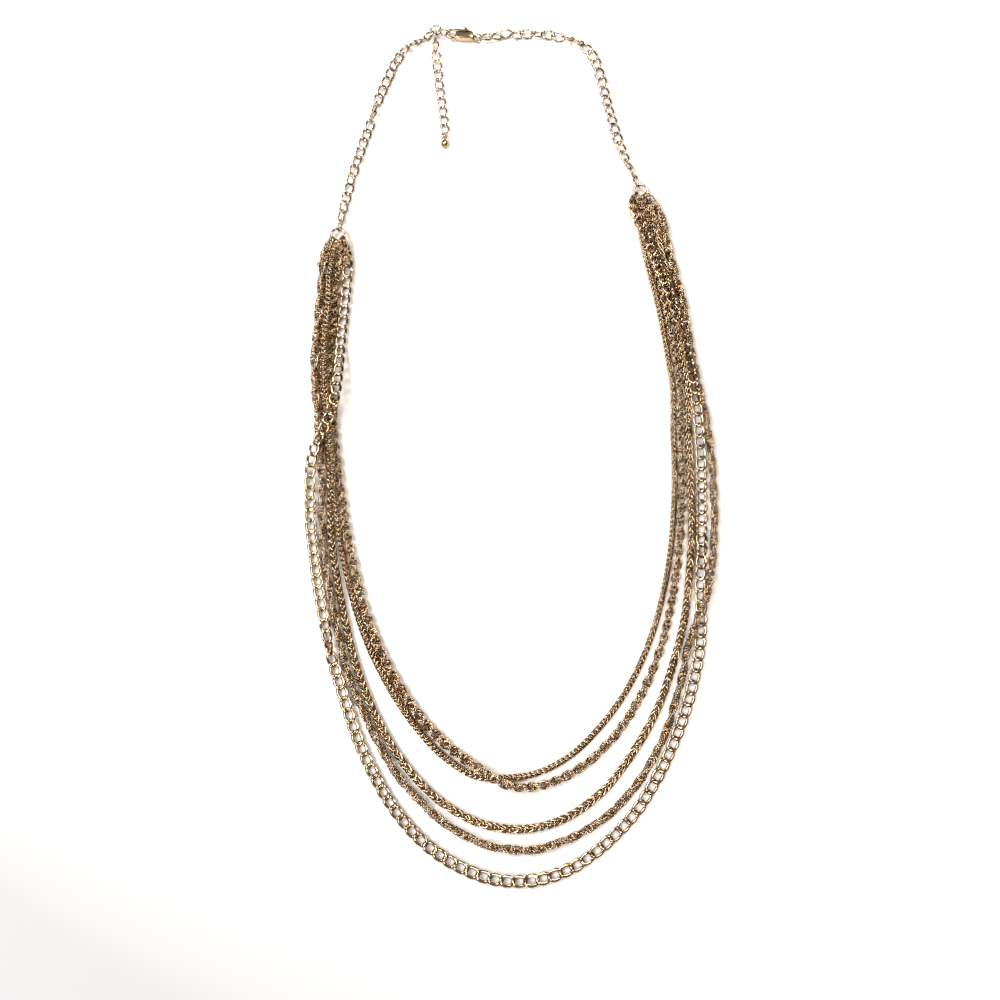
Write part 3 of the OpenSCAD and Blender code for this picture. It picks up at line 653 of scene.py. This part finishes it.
def plate(outline, z0, z1, r, steps=4, dome=0.0):
    """A flat piece between z0 and z1 with rounded edges of radius r, its top domed by dome."""
    P = np.array(outline, float)
    area = 0.5 * np.sum(P[:, 0] * np.roll(P[:, 1], -1) - np.roll(P[:, 0], -1) * P[:, 1])
    if area < 0:
        P = P[::-1]
    t = np.roll(P, -1, axis=0) - np.roll(P, 1, axis=0)
    t /= np.linalg.norm(t, axis=1, keepdims=True)
    inward = np.stack([-t[:, 1], t[:, 0]], axis=-1)
    layers = []
    for q in range(steps + 1):
        a = math.pi / 2 * q / steps
        layers.append((r * (1 - math.sin(a)), z0 + r * (1 - math.cos(a))))
    for q in range(steps, -1, -1):
        a = math.pi / 2 * q / steps
        layers.append((r * (1 - math.sin(a)), z1 - r * (1 - math.cos(a))))
    n = len(P)
    rows = [np.concatenate([P + inward * i, np.full((n, 1), z)], axis=1) for i, z in layers]
    if dome:
        mid = rows[-1].mean(0)
        top = rows[-1]
        for q in (0.88, 0.74, 0.6, 0.45, 0.3, 0.14):
            rows.append(mid + (top - mid) * q + np.array([0, 0, dome * (1 - q * q)]))
    V = np.concatenate(rows)
    F = open_faces(len(rows), n)[:, ::-1].tolist()
    F.append(list(range(n))[::-1])
    F.append(list(range((len(rows) - 1) * n, len(rows) * n)))
    return V, F


def arc_tube(cx, cy, R, a0, a1, w, h, n, k, tip=True):
    """A bent bar of oval section from a0 to a1 degrees, its first end rounded off."""
    a = np.radians(np.linspace(a0, a1, n))
    path = np.stack([cx + R * np.cos(a), cy + R * np.sin(a), 0 * a], axis=-1)
    e = np.arange(n)
    rad = w / 2 * (np.sqrt(np.clip(1 - (1 - np.minimum(e / 5.0, 1)) ** 2, 0.02, 1)) if tip else np.ones(n))
    return tube(path, rad, k, flat=h / w, ref=UP)


b = Build()
# claw
V, F = arc_tube(-8.35, -0.25, 2.0, 79, 338, 1.1, 1.4, 56, 16)
b.add(V, F, 0, clasp_place)
# shank: a solid spine along the bottom and two cheeks beside the lever
spine = rounded([[-6.9, -1.9], [-6.3, -2.25], [-5.2, -2.6], [-2, -2.55], [0.6, -2.3], [1.25, -1.9], [0.9, -1.45],
                 [-1, -1.5], [-2.1, -1.25], [-3.8, -0.75], [-5.4, -1.1], [-6.6, -1.2]])
V, F = plate(spine, -1.3, 1.3, 0.35)
b.add(V, F, 0, clasp_place)
cheek = rounded([[-6.45, -1.95], [-5.2, -2.5], [-2, -2.5], [0.6, -2.25], [1.25, -1.85], [1.35, -0.5], [1.05, 0.6],
                 [0.3, 1.2], [-0.8, 1.25], [-2, 0.95], [-5.6, 0.7], [-6.45, 0.3]])
for z0, z1, dome in ((0.58, 1.4, 0.3), (-1.4, -0.58, 0.0)):
    V, F = plate(cheek, z0, z1, 0.3, dome=dome)
    b.add(V, F, 0, clasp_place)
# tail ring
V, F = loop(1.175, 1.175, 1.0, 0.0, 0.65, 1.0, 36, 10)
b.add(V + np.array([1.4, -1.35, 0]), F, 0, clasp_place)
# ends of the pivot pin, slightly domed
f = np.linspace(0, 2 * math.pi, 24, endpoint=False)
disc = np.stack([0.4 * np.cos(f), 0.4 * np.sin(f)], axis=-1)
V, F = plate(disc, -1.47, 1.47, 0.14)
b.add(V, F, 0, clasp_place)
b.make("clasp_body_shell", "necklace", "champagne_gold", [CLASP], "clasp_body")

b = Build()
gate = rounded([[-7.8, 1.85], [-7.7, 1.4], [-5, 1.2], [-2.4, 0.95], [-0.9, -0.5], [0.9, 0.5], [-1.7, 2.9], [-2.4, 3.3],
                [-2.9, 3.1], [-2.6, 2.25], [-5, 2.35], [-7, 2.25], [-7.6, 2.1]])
V, F = plate(gate, -0.45, 0.45, 0.16)
b.add(V, F, 0, clasp_place)
f = np.linspace(0, 2 * math.pi, 32, endpoint=False)
hub = np.stack([1.05 * np.cos(f), 1.05 * np.sin(f)], axis=-1)
V, F = plate(hub, -0.45, 0.45, 0.12)
b.add(V, F, 0, clasp_place)
nub = np.stack([-2.6 + 0.45 * np.cos(f), 3.15 + 0.45 * np.sin(f)], axis=-1)
V, F = plate(nub, -0.45, 0.45, 0.2)
b.add(V, F, 0, clasp_place)
b.make("clasp_lever_plate", "lever", "champagne_gold", [CLASP], "clasp_lever")

# ---------------------------------------------------------------- floor
n = 24
xs = np.linspace(-1.5, 1.5, n)
V = [(x, y, 0.0) for y in xs for x in xs]
F = [(j * n + i, j * n + i + 1, (j + 1) * n + i + 1, (j + 1) * n + i) for j in range(n - 1) for i in range(n - 1)]
mesh = bpy.data.meshes.new("floor")
mesh.from_pydata(V, [], F)
mesh.update()
floor = bpy.data.objects.new("floor", mesh)
scene.collection.objects.link(floor)
m = bpy.data.materials.new("pale_floor")
m.use_nodes = True
nt = m.node_tree
bsdf = nt.nodes["Principled BSDF"]
bsdf.inputs["Roughness"].default_value = 0.75
co = nt.nodes.new("ShaderNodeTexCoord")
nz = nt.nodes.new("ShaderNodeTexNoise")
nz.inputs["Scale"].default_value = 4.0
rp = nt.nodes.new("ShaderNodeValToRGB")
rp.color_ramp.elements[0].position = 0.3
rp.color_ramp.elements[0].color = (0.895, 0.880, 0.862, 1)
rp.color_ramp.elements[1].position = 0.7
rp.color_ramp.elements[1].color = (0.915, 0.900, 0.882, 1)
nt.links.new(co.outputs["Object"], nz.inputs["Vector"])
nt.links.new(nz.outputs["Fac"], rp.inputs[0])
# painted shade: the floor's colour greys towards its near left corner, standing in for light that falls off there
dp = nt.nodes.new("ShaderNodeVectorMath")
dp.operation = "DOT_PRODUCT"
dp.inputs[1].default_value = (1.65, 2.78, 0.0)
mr = nt.nodes.new("ShaderNodeMapRange")
mr.inputs["From Min"].default_value = -0.80
mr.inputs["From Max"].default_value = -0.39
shade = nt.nodes.new("ShaderNodeValToRGB")
shade.color_ramp.elements[0].color = (0.575, 0.592, 0.62, 1)
shade.color_ramp.elements[1].color = (1, 1, 1, 1)
mx = nt.nodes.new("ShaderNodeVectorMath")
mx.operation = "MULTIPLY"
nt.links.new(co.outputs["Object"], dp.inputs[0])
nt.links.new(dp.outputs["Value"], mr.inputs["Value"])
nt.links.new(rp.outputs[0], mx.inputs[0])
nt.links.new(mr.outputs[0], shade.inputs[0])
nt.links.new(shade.outputs[0], mx.inputs[1])
nt.links.new(mx.outputs["Vector"], bsdf.inputs["Base Color"])
mesh.materials.append(m)
